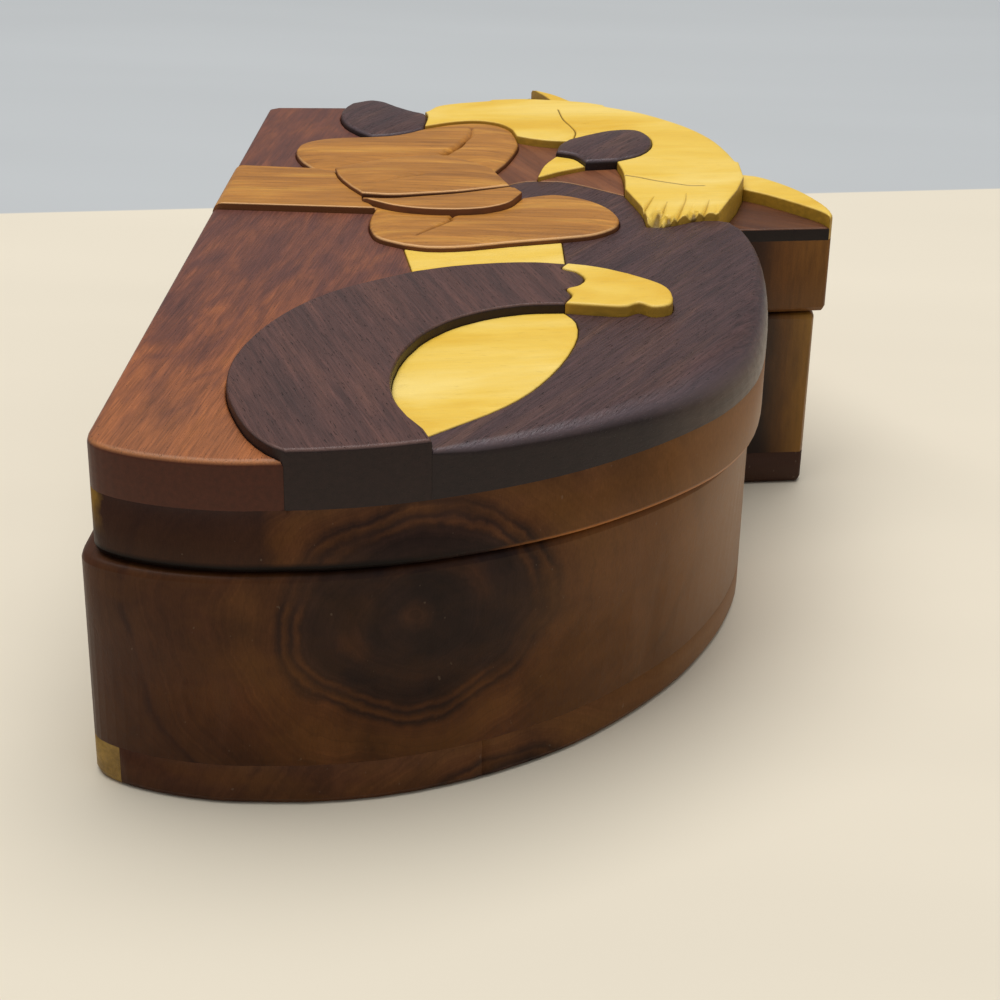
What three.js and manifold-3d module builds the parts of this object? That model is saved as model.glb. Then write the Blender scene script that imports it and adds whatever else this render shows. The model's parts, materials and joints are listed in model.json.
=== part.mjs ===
// Wooden intarsia puzzle box: a sleeping animal that hugs a gift, sawn from laminated blocks.
// Millimetres, +Z up, +Y runs from the rounded front to the ears at the back.
// The pattern below has x from the straight left wall and y from the front.
// The base and the lid are sawn from one block, so both use the same outline.
import * as THREE from 'three';
import { mergeVertices } from 'three/addons/utils/BufferGeometryUtils.js';
import Module from 'manifold-3d';

const wasm = await Module();
wasm.setup();

// Size of the sawn block, which the pattern is stretched to
const BOX_WIDTH = 119.9;         // from the straight left wall to the tip of the right ear
const BOX_LENGTH = 208.6;        // from the rounded front to the tip of the far ear

// The pattern in its own units: its two sizes, its left wall, where the animal's back reaches furthest
// right, its middle, and the joint between the two wide bottom boards
const PATTERN = { width: 119.9, length: 208.6, left: -1.8, right: 103.2, middle: [52, 95], joint: 60 };

// Heights, at the front of the box
const BOTTOM_BOARD = 7;          // thickness of the boards that close the base underneath
const WALL_HEIGHT = 32.5;        // height of the hollow base block above them
const RUNNING_GAP = 0.3;         // between the base and the lid that slides on it
const LID_BOARD = 10.6;          // thickness of the lid's lower block
const FIGURE = 8.1;              // thickness of the flat inlay pieces on the lid
const SEAM_FALL = 0.0185;        // the seam is sawn downhill towards the back, this much per millimetre
const EAR_STEP = 2.2;            // the ears' blocks reach this far up past the lid's lower block

// How far each raised piece stands above the flat inlay, or below it where negative
const RAISE = {
  ribbon: 1.3, bow: 1.5, fold: 2.2, knot: 2.5, leg: 1.8, paw: 2.0,
  head: 1.6, nose: 2.4, lip: 0.9, hand: 1.7, earTip: -1.0, earDish: -3.4,
};

// Fits
const GLUE_LINE = 0.3;           // joint between two inlay pieces
const RUNNER_PLAY = 0.35;        // all round a runner in its groove
const KEY_PLAY = 0.35;           // all round the key in its slot
const LID_SHIFT_X = 2.0;         // the lid stands this far right of the base, as sanded and fitted
const LID_OPEN = 0.4;            // the lid at rest is slid this far from its front stop

// Rounded edges
const SEAM_ROUND = 1.1;          // along both sides of the seam and under the base
const PIECE_ROUND = 0.6;         // between inlay pieces
const RIM_ROUND = 1.4;           // inlay pieces along the rim of the lid
const GIFT_ROUND = 2.4;          // the gift's panels and ribbon along the rim
const BACK_ROUND = 5;            // the animal's back, rolled over the rim of the lid
const ROUND_STEPS = 2;           // facets across a small rounding
const BACK_STEPS = 4;            // facets across the back's wide rounding
const RIM_ROUNDS = {
  animal_body: [BACK_ROUND, BACK_STEPS], gift_panel_front: [GIFT_ROUND, BACK_STEPS],
  gift_panel_rear: [GIFT_ROUND, BACK_STEPS], ribbon_strip: [GIFT_ROUND, BACK_STEPS],
};

// The base is sanded off square: its foot flares out at the front and tucks in on the right.
// Each place is a direction from the middle of the box, how wide it spreads and how far out it goes.
const MIDDLE = placed(PATTERN.middle);
const FOOT_LEAN = [{ angle: -93, spread: 32, out: 2.7 }, { angle: -46, spread: 28, out: -2.5 }];

// Runners under the lid, dovetailed into grooves in the two long walls
const RUNNER_WIDTH = 6.3;        // at its wide lower face
const RUNNER_DEPTH = 5.4;
const RUNNER_SLOPE = 1.0;        // how much each flank leans in on its way up to the lid
const LEFT_GROOVE_X = 8;         // middle of the groove in the left wall
const RIGHT_GROOVE_INSET = 13.7; // middle of the groove in the right wall, in from the wall's widest place
const LEFT_GROOVE_START = 12;    // blind front ends of the two grooves
const RIGHT_GROOVE_START = 52;
const LEFT_RUNNER_SHORT = 30.6;  // back ends of the runners, in from the back of the box
const RIGHT_RUNNER_SHORT = 40.6;

// Locking key: a dovetailed bar that slides through the left wall between two runner strips
const KEY_Y = 88;                // middle of the key along the left wall
const KEY_WIDTH = 12;
const KEY_HEIGHT = 6.2;
const KEY_SLOPE = 1.2;           // how much each flank leans in on its way up
const KEY_BRIDGE = 2;            // wood left above the key's slot
const POCKET_PLAY = 1.2;         // beside the key's nose, between the two strips
const KEY_CLEAR = 0.7;           // between the pulled key and the runner strips

// Bottom boards, side by side
const LEFT_STRIP = 3.4;          // pale sapwood strip along the left edge

// Hollow of the base, seen from above
const HOLLOW = [[14.5, 24], [17, 18.4], [23, 16], [36, 17], [50, 22], [64, 30.5], [74, 39.5], [80, 49],
  [81.8, 60], [82, 80], [82, 130], [81.2, 151], [77, 162.5], [68, 170], [54, 173.5], [38, 170.6],
  [24, 167.6], [17, 165], [14.5, 158], [14.5, 90]].map(placed);

const WOOD = {
  walnut: [0x5a3a26, 0.42], acacia: [0x7a5230, 0.42], olive: [0x7b5a26, 0.42],
  redwood: [0x84503e, 0.45], ebony: [0x4a3c3e, 0.45], teak: [0xb5793a, 0.4],
  jackfruit: [0xe9c864, 0.4], throat: [0x6b4c44, 0.45], sapwood: [0xc9a24a, 0.42],
};

const SEAM = BOTTOM_BOARD + WALL_HEIGHT;
const LID_BOTTOM = SEAM + RUNNING_GAP;
const INLAY_BOTTOM = LID_BOTTOM + LID_BOARD;
const INLAY_TOP = INLAY_BOTTOM + FIGURE;
const RUNNER_BOTTOM = LID_BOTTOM - RUNNER_DEPTH;
const EAR_TOP = INLAY_BOTTOM + EAR_STEP;
const LEFT_WALL = placed([PATTERN.left, 0])[0];
const RIGHT_GROOVE_X = placed([PATTERN.right, 0])[0] - RIGHT_GROOVE_INSET;
const RIGHT_BOARD = placed([PATTERN.joint, 0])[0];
const KEY_TOP = SEAM - KEY_BRIDGE - KEY_PLAY;
const KEY_BOTTOM = KEY_TOP - KEY_HEIGHT;
const KEY_LENGTH = LEFT_GROOVE_X - LEFT_WALL;
const KEY_PULLED = RUNNER_WIDTH / 2 + KEY_CLEAR;
const CURVE_STEPS = 10;          // points drawn between two given ones before thinning
const CURVE_TOLERANCE = 0.07;    // how far the thinned outline may leave the curve
const MITRE_LIMIT = 2.2;         // longest corner of an inset outline, in insets
const NARROW = 0.4;              // a rounding takes no more than this share of a narrow piece
const KEPT_SIDE = 0.2;           // least share of a side's length left after rounding
const SETTLING_PASSES = 12;
const SETTLING_SHARE = 0.8;
const PAST = 1;                  // how far a cutting shape reaches past the wood

// Saw cuts. Each is a run of points that two pieces share, or a stretch of the rim.
// 'soft' runs are drawn as one smooth curve through their points, 'hard' ones as straight sides.
const POINT = {
  frontLeft: [PATTERN.left, 9], legFront: [28.9, 1], legBody: [50, 6.7], bodyEar: [97.8, 115.3],
  earFront: [117.4, 124.2], earBack: [100.2, 149.6], farEarRight: [72.6, 187.3],
  farEarTip: [54.8, 208.6], farEarLeft: [46.4, 188.6], handHead: [33, 178.2],
  handGift: [16.4, 184.4], backLeft: [PATTERN.left, 181], ribbonBack: [PATTERN.left, 136],
  ribbonFront: [PATTERN.left, 111.8],
  legBelly: [40.6, 77.5], legPaw: [67.2, 84], pawBelly: [67.5, 64.3], bellyTip: [48.3, 11],
  bellyBow: [37, 93.3], bellyBowBody: [65.8, 100.1], ribbonBow: [29.6, 112.5],
  ribbonFold: [28.2, 114.8], foldKnot: [26.3, 119], knotBow: [19, 134.2], bowRibbon: [14.6, 135.7],
  foldBow: [57.2, 122.6], foldTip: [54.6, 127.1], knotBody: [52.8, 131.4], knotThroat: [50.4, 137.4],
  bowHand: [23.5, 159.5], bowHead: [34, 166.8], bowThroat: [54, 162], noseTop: [64.9, 159.4],
  noseLip: [62.7, 150.6], lipRight: [69, 144.6], noseRight: [75.4, 146.4], lipTip: [59.6, 136.3],
  headThroat: [77.2, 129], headBody: [81.6, 110.8], headEar: [95.3, 116.2], earDish: [101, 139.4],
  farDish: [62, 190.2],
};
const CUT = {
  rimFrontLeft: soft('frontLeft', [-1.4, 6.6], [-0.2, 4.8], [2.4, 3.1], [6.8, 1.5], [12.5, 0.4], [19, 0],
    [23, 0.2], 'legFront'),
  rimLeg: soft('legFront', [32.5, 1.5], [38, 2.7], [44.5, 4.6], 'legBody'),
  rimBody: soft('legBody', [56.7, 9.8], [64, 13.8], [72, 19.1], [80, 25.9], [87.5, 33.6], [93.5, 41.3],
    [97.6, 48.9], [100.6, 57.4], [102.4, 68], [103.2, 80], [103.1, 91], [102.4, 99.5], [101.2, 106.5], [99.6, 112],
    'bodyEar'),
  rimEarFront: hard('bodyEar', [98.4, 120.7], 'earFront'),
  rimEarBack: soft('earFront', [118, 126], [117.4, 130], [115.4, 135], [112.4, 140.3], [108.6, 144.9],
    [104.4, 148.5], 'earBack'),
  rimHeadRight: soft('earBack', [98.6, 156.2], [95.6, 165], [91, 172.8], [85.5, 178.9], [79.6, 183.7], 'farEarRight'),
  rimFarEarRight: soft('farEarRight', [69.2, 192.8], [65.2, 198.6], [60.6, 204.3], 'farEarTip'),
  rimFarEarLeft: soft('farEarTip', [53.2, 207.6], [50.8, 202.4], [48.6, 196], 'farEarLeft'),
  rimHeadLeft: soft('farEarLeft', [39.4, 185.8], [35, 182.8], 'handHead'),
  rimHand: soft('handHead', [30.8, 179.4], [27.4, 182.2], [23.6, 186], [20.2, 187], 'handGift'),
  rimGiftBack: hard('handGift', [0, 182.6], 'backLeft'),
  rimGiftRear: hard('backLeft', 'ribbonBack'),
  rimRibbon: hard('ribbonBack', 'ribbonFront'),
  rimGiftFront: hard('ribbonFront', 'frontLeft'),

  legOuter: soft('legFront', [26.9, 2.3], [25, 4.3], [22.4, 8], [19.6, 13.9], [16.9, 21.7], [15.7, 30.5], [16.3, 40],
    [19, 50.5], [23.2, 59.8], [28.4, 67], [34.4, 72.5], 'legBelly'),
  legBack: soft('legBelly', [47, 80.8], [55, 83.4], [61.5, 84.4], 'legPaw'),
  legEnd: soft('legPaw', [66.4, 81.4], [69, 79.8], [70.6, 76.4], [69.5, 73], [67.6, 71.3], [68.6, 68.2], 'pawBelly'),
  legInner: soft('bellyTip', [44.9, 16.4], [42.5, 22.8], [41.5, 30.5], [42.2, 39.4], [44.8, 48.2], [49, 55],
    [54.6, 60], [61, 63.2], 'pawBelly'),
  legBodyJoint: hard('bellyTip', 'legBody'),
  bellyRight: soft('pawBelly', [69.5, 60.6], [70.1, 54.4], [69.1, 47], [66.8, 38.4], [63, 29.2], [58.3, 22],
    [53, 16.2], 'bellyTip'),
  pawEdge: soft('legPaw', [70.6, 83.4], [75, 81.8], [80.4, 78.5], [84.7, 74.4], [86, 69.8], [85.4, 65.6],
    [82.6, 64.2], [80.2, 65.8], [77.8, 63.9], [72, 64], 'pawBelly'),
  bellyLeft: hard('bellyBow', 'legBelly'),
  bellyBody: hard('legPaw', 'bellyBowBody'),
  bowLowFront: soft('bellyBow', [41.6, 92.3], [47.5, 93.2], [56, 96.6], 'bellyBowBody'),
  bowLowRight: soft('bellyBowBody', [71.6, 102.7], [75.6, 107.4], [76.3, 112.2], [74.2, 118.2], [69.6, 123.2],
    [63.4, 125.4], 'foldBow'),
  bowLowLeft: soft('ribbonBow', [29.2, 107.4], [29.8, 101.6], [32, 96.4], 'bellyBow'),
  ribbonFrontEdge: hard('ribbonFront', 'ribbonBow'),
  ribbonBackEdge: hard('ribbonBack', 'bowRibbon'),
  ribbonToBow: hard('bowRibbon', 'knotBow'),
  ribbonToKnot: soft('knotBow', [20.3, 129.6], [22.8, 124.4], 'foldKnot'),
  ribbonToFold: soft('foldKnot', [26.8, 116.2], 'ribbonFold'),
  ribbonToBowLow: hard('ribbonFold', 'ribbonBow'),
  foldFront: soft('ribbonFold', [33.4, 111.8], [39, 110.6], [45, 110.8], [50.6, 112.4], [54.8, 116], 'foldBow'),
  foldRight: hard('foldBow', 'foldTip'),
  foldBack: soft('foldKnot', [32, 118.7], [38.5, 120.4], [45.5, 122.7], [50.6, 125.2], 'foldTip'),
  knotToBody: hard('foldTip', 'knotBody'),
  knotToThroat: hard('knotBody', 'knotThroat'),
  knotBack: soft('knotThroat', [47.6, 140.2], [43.4, 143.4], [39, 145], [33.6, 143.8], [27, 140.6],
    [22.4, 137], 'knotBow'),
  bowRight: soft('knotThroat', [52.6, 144.4], [54.1, 152], [54.6, 157.4], 'bowThroat'),
  bowBack: soft('bowThroat', [52.5, 167.2], [49.6, 170.8], [45.4, 172.2], [40.4, 171], 'bowHead'),
  bowHandEdge: soft('bowHead', [30.8, 163.2], [27.4, 160.8], 'bowHand'),
  bowLeft: soft('bowHand', [17.4, 158.2], [12.6, 156.1], [9.6, 152.6], [9.2, 147.4], [11.2, 141.2], 'bowRibbon'),
  handLeft: soft('bowHand', [19.6, 163.8], [16.6, 168.8], [14.9, 175], [15.2, 180.6], 'handGift'),
  handRight: soft('handHead', [34, 174.6], [34.1, 170.4], 'bowHead'),
  throatBack: soft('bowThroat', [57.8, 160.2], [61.2, 159.4], 'noseTop'),
  noseEdge: soft('noseTop', [68.9, 163.4], [74.2, 167.4], [79.2, 168], [82, 164], [82.4, 157.2], [80, 150.8], 'noseRight'),
  noseThroat: soft('noseTop', [63.2, 155.4], 'noseLip'),
  noseLipEdge: soft('noseLip', [66.6, 149], 'lipRight'),
  noseFront: hard('lipRight', 'noseRight'),
  lipLeft: soft('noseLip', [60.6, 144.4], 'lipTip'),
  lipFront: soft('lipTip', [63.6, 140.4], 'lipRight'),
  throatRight: soft('noseRight', [76.6, 140.4], [77.1, 134.6], 'headThroat'),
  throatLeftFront: soft('knotBody', [54.8, 133.9], [57.2, 135.7], 'lipTip'),
  throatRightFront: soft('lipTip', [64.6, 136.4], [69, 134.4], [73.2, 131.6], 'headThroat'),
  headLeft: soft('headThroat', [79, 123.2], [80.8, 116.8], 'headBody'),
  headFront: soft('headBody', [84.2, 110.8], [86.9, 112.3], [89.4, 114.3], [92.3, 115.8], 'headEar'),
  headToDish: soft('headEar', [97.6, 124.8], [99.4, 131], 'earDish'),
  headToEar: hard('earDish', 'earBack'),
  bodyToDish: hard('headEar', 'bodyEar'),
  earRidge: soft('earFront', [116, 127], [112.6, 130.6], [108.8, 134], [105, 137], 'earDish'),
  headToFarDish: soft('farEarLeft', [54, 190.4], 'farDish'),
  headToFarEar: soft('farDish', [67.6, 189.4], 'farEarRight'),
  farEarRidge: soft('farEarTip', [58.2, 203], [60.6, 196.6], 'farDish'),
};

// Closed outlines, each a list of cuts in the order they meet round the piece
const RIM = ['rimFrontLeft', 'rimLeg', 'rimBody', 'rimEarFront', 'rimEarBack', 'rimHeadRight', 'rimFarEarRight',
  'rimFarEarLeft', 'rimHeadLeft', 'rimHand', 'rimGiftBack', 'rimGiftRear', 'rimRibbon', 'rimGiftFront'];
const MAIN_BLOCK = ['rimFrontLeft', 'rimLeg', 'rimBody', 'bodyToDish', 'headToDish', 'headToEar', 'rimHeadRight',
  'headToFarEar', 'headToFarDish', 'rimHeadLeft', 'rimHand', 'rimGiftBack', 'rimGiftRear', 'rimRibbon',
  'rimGiftFront'];
const EAR_BLOCK = ['bodyToDish', 'rimEarFront', 'rimEarBack', 'headToEar', 'headToDish'];
const FAR_EAR_BLOCK = ['headToFarDish', 'headToFarEar', 'rimFarEarRight', 'rimFarEarLeft'];
const PIECES = {
  gift_panel_front: [['rimGiftFront', 'rimFrontLeft', 'legOuter', 'bellyLeft', 'bowLowLeft', 'ribbonFrontEdge'],
    0, WOOD.redwood],
  gift_panel_rear: [['rimGiftRear', 'ribbonBackEdge', 'bowLeft', 'handLeft', 'rimGiftBack'], 0, WOOD.redwood],
  ribbon_strip: [['rimRibbon', 'ribbonFrontEdge', 'ribbonToBowLow', 'ribbonToFold', 'ribbonToKnot',
    'ribbonToBow', 'ribbonBackEdge'], RAISE.ribbon, WOOD.teak],
  bow_loop_upper: [['ribbonToBow', 'knotBack', 'bowRight', 'bowBack', 'bowHandEdge', 'bowLeft'], RAISE.bow, WOOD.teak],
  bow_loop_lower: [['bowLowLeft', 'bowLowFront', 'bowLowRight', 'foldFront', 'ribbonToBowLow'], RAISE.bow, WOOD.teak],
  bow_knot: [['ribbonToKnot', 'foldBack', 'knotToBody', 'knotToThroat', 'knotBack'], RAISE.knot, WOOD.teak],
  bow_knot_fold: [['ribbonToFold', 'foldFront', 'foldRight', 'foldBack'], RAISE.fold, WOOD.teak],
  animal_body: [['legBodyJoint', 'bellyRight', 'pawEdge', 'bellyBody', 'bowLowRight', 'foldRight', 'knotToBody',
    'throatLeftFront', 'throatRightFront', 'headLeft', 'headFront', 'bodyToDish', 'rimBody'],
    0, WOOD.ebony],
  belly_upper: [['legBack', 'bellyBody', 'bowLowFront', 'bellyLeft'], 0, WOOD.jackfruit],
  belly_lower: [['bellyRight', 'legInner'], 0, WOOD.jackfruit],
  leg: [['rimLeg', 'legBodyJoint', 'legInner', 'legEnd', 'legBack', 'legOuter'], RAISE.leg, WOOD.ebony],
  paw: [['pawEdge', 'legEnd'], RAISE.paw, WOOD.jackfruit],
  head: [['rimHeadRight', 'headToFarEar', 'headToFarDish', 'rimHeadLeft', 'handRight', 'bowBack', 'throatBack',
    'noseEdge', 'throatRight', 'headLeft', 'headFront', 'headToDish', 'headToEar'],
    RAISE.head, WOOD.jackfruit],
  nose: [['noseFront', 'noseEdge', 'noseThroat', 'noseLipEdge'], RAISE.nose, WOOD.ebony],
  lip: [['lipFront', 'noseLipEdge', 'lipLeft'], RAISE.lip, WOOD.jackfruit],
  throat_left: [['throatLeftFront', 'lipLeft', 'noseThroat', 'throatBack', 'bowRight', 'knotToThroat'],
    0, WOOD.throat],
  throat_right: [['throatRightFront', 'throatRight', 'noseFront', 'lipFront'], 0, WOOD.throat],
  hand: [['bowHandEdge', 'handLeft', 'rimHand', 'handRight'], RAISE.hand, WOOD.ebony],
  ear_right_edge: [['rimEarBack', 'headToEar', 'earRidge'], RAISE.earTip, WOOD.jackfruit],
  ear_right_dish: [['rimEarFront', 'earRidge', 'headToDish', 'bodyToDish'], RAISE.earDish, WOOD.throat],
  ear_far_edge: [['rimFarEarRight', 'farEarRidge', 'headToFarEar'], RAISE.earTip, WOOD.jackfruit],
  ear_far_dish: [['rimFarEarLeft', 'headToFarDish', 'farEarRidge'], RAISE.earDish, WOOD.throat],
};

// A point of the pattern on the block
function placed([x, y]) {
  return [x * (BOX_WIDTH / PATTERN.width), y * (BOX_LENGTH / PATTERN.length)];
}
function soft(...points) {
  return { points, smooth: true };
}
function hard(...points) {
  return { points, smooth: false };
}

// The points of a cut, with smooth ones drawn as a curve and thinned out again
function drawn(cut) {
  const fixed = cut.points.map((point) => new THREE.Vector3(...placed(POINT[point] ?? point), 0));
  if (!cut.smooth || fixed.length < 3) {
    return fixed;
  }
  const curve = new THREE.CatmullRomCurve3(fixed, false, 'centripetal');
  return thinned(curve.getPoints((fixed.length - 1) * CURVE_STEPS));
}

// Leave out the points that lie on the line between their neighbours
function thinned(points) {
  if (points.length < 3) {
    return points;
  }
  const chord = new THREE.Line3(points[0], points.at(-1));
  const foot = new THREE.Vector3();
  const away = points.map((point) => chord.closestPointToPoint(point, true, foot).distanceTo(point));
  const worst = away.indexOf(Math.max(...away));
  if (away[worst] < CURVE_TOLERANCE) {
    return [points[0], points.at(-1)];
  }
  return [...thinned(points.slice(0, worst + 1)).slice(0, -1), ...thinned(points.slice(worst))];
}

const LINE = Object.fromEntries(Object.entries(CUT).map(([name, cut]) => [name, drawn(cut)]));

// Join cuts end to end into one counter-clockwise outline; every point knows whether its next side is rim
function outline(names) {
  const ends = names.map((name) => [CUT[name].points[0], CUT[name].points.at(-1)]);
  let here = ends[1].includes(ends[0][1]) ? ends[0][0] : ends[0][1];
  const loop = [];
  names.forEach((name, i) => {
    const forward = ends[i][0] === here;
    const run = forward ? LINE[name] : [...LINE[name]].reverse();
    run.slice(0, -1).forEach(({ x, y }) => loop.push({ x, y, rim: name.startsWith('rim') }));
    here = forward ? ends[i][1] : ends[i][0];
  });
  if (THREE.ShapeUtils.area(loop) > 0) {
    return loop;
  }
  return loop.map((point, i) => ({ ...point, rim: loop.at(i - 1).rim })).reverse();
}

// How far each corner moves when every side of the outline moves in by its own distance
function insetMoves(loop, distances) {
  return loop.map((point, i) => {
    const before = loop.at(i - 1);
    const after = loop[(i + 1) % loop.length];
    const a = new THREE.Vector2(point.x - before.x, point.y - before.y).normalize();
    const b = new THREE.Vector2(after.x - point.x, after.y - point.y).normalize();
    const din = distances.at(i - 1);
    const dout = distances[i];
    const turn = a.cross(b);
    const move = new THREE.Vector2(-a.y - b.y, a.x + b.x).normalize().multiplyScalar((din + dout) / 2);
    if (Math.abs(turn) > 0.08) {
      move.set((din * b.x - dout * a.x) / turn, (din * b.y - dout * a.y) / turn);
    }
    return move.clampLength(0, MITRE_LIMIT * Math.max(din, dout));
  });
}

// Free length from a corner across the piece in the direction of its move
function room(loop, i, move) {
  const from = loop[i];
  const way = move.clone().normalize();
  let nearest = Infinity;
  loop.forEach((p, k) => {
    const q = loop[(k + 1) % loop.length];
    if (k === i || (k + 1) % loop.length === i) {
      return;
    }
    const side = new THREE.Vector2(q.x - p.x, q.y - p.y);
    const gap = new THREE.Vector2(p.x - from.x, p.y - from.y);
    const slant = way.cross(side);
    const along = gap.cross(side) / slant;
    const across = gap.cross(way) / slant;
    if (along > 0 && across >= 0 && across <= 1) {
      nearest = Math.min(nearest, along);
    }
  });
  return nearest;
}

// The corner moves and drops that round the edges of an outline over with the given radii.
// They are shortened where the piece is narrow and where a short side would turn back on itself.
function rounding(loop, radii) {
  const bend = insetMoves(loop, radii).map((move, i) => {
    const share = Math.min(1, NARROW * room(loop, i, move) / Math.max(move.length(), 1e-6));
    return { move: move.multiplyScalar(share), drop: share * (radii.at(i - 1) + radii[i]) / 2 };
  });
  for (let pass = 0; pass < SETTLING_PASSES; pass++) {
    loop.forEach((from, i) => {
      const k = (i + 1) % loop.length;
      const side = new THREE.Vector2(loop[k].x - from.x, loop[k].y - from.y);
      const moved = side.clone().add(bend[k].move).sub(bend[i].move);
      if (moved.dot(side) < KEPT_SIDE * side.lengthSq()) {
        [bend[i], bend[k]].forEach((corner) => {
          corner.move.multiplyScalar(SETTLING_SHARE);
          corner.drop *= SETTLING_SHARE;
        });
      }
    });
  }
  return bend;
}

// A solid over an outline: straight sides, with the lower and upper edges rounded
function block(names, low, high, { under = 0, rim = 0, inner = 0, steps = ROUND_STEPS, leaning = false }) {
  const drawnLoop = outline(names);
  const glue = rounding(drawnLoop, drawnLoop.map((point) => (point.rim ? 0 : GLUE_LINE / 2)));
  const loop = drawnLoop.map((point, i) => ({ ...point, x: point.x + glue[i].move.x, y: point.y + glue[i].move.y }));
  const lower = rounding(loop, loop.map((point) => (point.rim ? under : 0)));
  const upper = rounding(loop, loop.map((point) => (point.rim ? rim : inner)));
  const rings = [];
  const ring = (bend, height) => rings.push(loop.map((point, i) => {
    const { move, drop } = bend[i];
    const z = height(drop);
    const lean = leaning && point.rim ? leanAt(point.x, point.y, z) : [0, 0];
    return [point.x + move.x + lean[0], point.y + move.y + lean[1], z];
  }));
  const part = (bend, share) => bend.map(({ move, drop }) => ({ move: move.clone().multiplyScalar(share), drop }));
  const turns = Array.from({ length: steps + 1 }, (_, k) => (k / steps) * Math.PI / 2);
  turns.forEach((t) => under && ring(part(lower, 1 - Math.sin(t)), (drop) => low + drop * (1 - Math.cos(t))));
  if (!under) {
    ring(part(lower, 0), () => low);
  }
  turns.forEach((t) => (rim || inner) && ring(part(upper, 1 - Math.cos(t)), (drop) => high - drop * (1 - Math.sin(t))));
  if (!rim && !inner) {
    ring(part(upper, 0), () => high);
  }
  return skin(rings);
}

// How far the base's side stands out from the sawn outline at a given height
function leanAt(x, y, z) {
  const away = new THREE.Vector2(x - MIDDLE[0], y - MIDDLE[1]);
  const lean = FOOT_LEAN.reduce((sum, { angle, spread, out }) => {
    const turn = THREE.MathUtils.degToRad(angle);
    const off = away.angleTo(new THREE.Vector2(Math.cos(turn), Math.sin(turn)));
    const share = Math.min(1, THREE.MathUtils.radToDeg(off) / spread);
    return sum + out * Math.cos(share * Math.PI / 2) ** 2;
  }, 0);
  return away.setLength(Math.abs(lean)).multiplyScalar(Math.sign(lean) * (1 - z / SEAM)).toArray();
}

// Lower a solid along the falling seam: fully at the near height, not at all at the far one
function tilted(geometry, near, far) {
  const points = geometry.attributes.position;
  for (let i = 0; i < points.count; i++) {
    const share = THREE.MathUtils.clamp((far - points.getZ(i)) / (far - near), 0, 1);
    points.setZ(i, points.getZ(i) - share * SEAM_FALL * points.getY(i));
  }
  return geometry;
}

// Close a stack of rings of equal length into a solid
function skin(rings) {
  const count = rings[0].length;
  const index = [];
  for (let k = 0; k + 1 < rings.length; k++) {
    for (let i = 0; i < count; i++) {
      const [a, b] = [k * count + i, k * count + ((i + 1) % count)];
      index.push(a, b, b + count, a, b + count, a + count);
    }
  }
  const cap = (ring) => THREE.ShapeUtils.triangulateShape(ring.map(([x, y]) => new THREE.Vector2(x, y)), []);
  const top = (rings.length - 1) * count;
  cap(rings[0]).forEach(([a, b, c]) => index.push(a, c, b));
  cap(rings.at(-1)).forEach(([a, b, c]) => index.push(top + a, top + b, top + c));
  const geometry = new THREE.BufferGeometry();
  geometry.setAttribute('position', new THREE.Float32BufferAttribute(rings.flat(2), 3));
  geometry.setIndex(index);
  return geometry;
}

// A straight bar along Y whose section is a trapezoid, wide at the bottom
function dovetailBar(x, from, to, low, high, lowerHalf, upperHalf) {
  const section = new THREE.Shape([[x - lowerHalf, low], [x + lowerHalf, low], [x + upperHalf, high],
    [x - upperHalf, high]].map(([u, v]) => new THREE.Vector2(u, v)));
  return new THREE.ExtrudeGeometry(section, { depth: to - from, bevelEnabled: false })
    .rotateX(Math.PI / 2).translate(0, to, 0);
}

function toManifold(geometry) {
  const bare = geometry.clone();
  bare.deleteAttribute('normal');
  bare.deleteAttribute('uv');
  const merged = mergeVertices(bare, 1e-4);
  return new wasm.Manifold(new wasm.Mesh({
    numProp: 3,
    vertProperties: new Float32Array(merged.attributes.position.array),
    triVerts: new Uint32Array(merged.index.array),
  }));
}

function fromManifold(solid) {
  const { vertProperties, triVerts } = solid.getMesh();
  const geometry = new THREE.BufferGeometry();
  geometry.setAttribute('position', new THREE.BufferAttribute(vertProperties, 3));
  geometry.setIndex(new THREE.BufferAttribute(triVerts, 1));
  return geometry;
}

function cut(geometry, ...tools) {
  return fromManifold(tools.reduce((rest, tool) => rest.subtract(toManifold(tool)), toManifold(geometry)));
}

function add(group, name, geometry, [color, roughness]) {
  const shaded = geometry.index ? geometry.toNonIndexed() : geometry;
  shaded.computeVertexNormals();
  const mesh = new THREE.Mesh(shaded, new THREE.MeshStandardMaterial({ color, roughness }));
  mesh.name = name;
  group.add(mesh);
  return mesh;
}

// Runners and the grooves they slide in share one section; the groove is larger by the play
function runner(x, from, to) {
  const half = RUNNER_WIDTH / 2;
  return tilted(dovetailBar(x, from, to, RUNNER_BOTTOM, LID_BOTTOM, half, half - RUNNER_SLOPE), LID_BOTTOM, INLAY_BOTTOM);
}
function groove(x, from) {
  const half = RUNNER_WIDTH / 2 + RUNNER_PLAY;
  const lean = RUNNER_SLOPE / RUNNER_DEPTH;
  const low = RUNNER_BOTTOM - RUNNER_PLAY;
  const high = SEAM + PAST;
  const end = BOX_LENGTH + PAST;
  return dovetailBar(x, from, end, low, high, half + lean * RUNNER_PLAY, half - lean * (high - RUNNER_BOTTOM));
}

// The key and its slot: a dovetailed bar across the left wall, drawn along Y and turned to X
function keyBar(from, to, play) {
  const half = KEY_WIDTH / 2 + play;
  return dovetailBar(0, from, to, KEY_BOTTOM - play, KEY_TOP + play, half, half - KEY_SLOPE)
    .rotateZ(-Math.PI / 2).translate(0, KEY_Y, 0);
}

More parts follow.
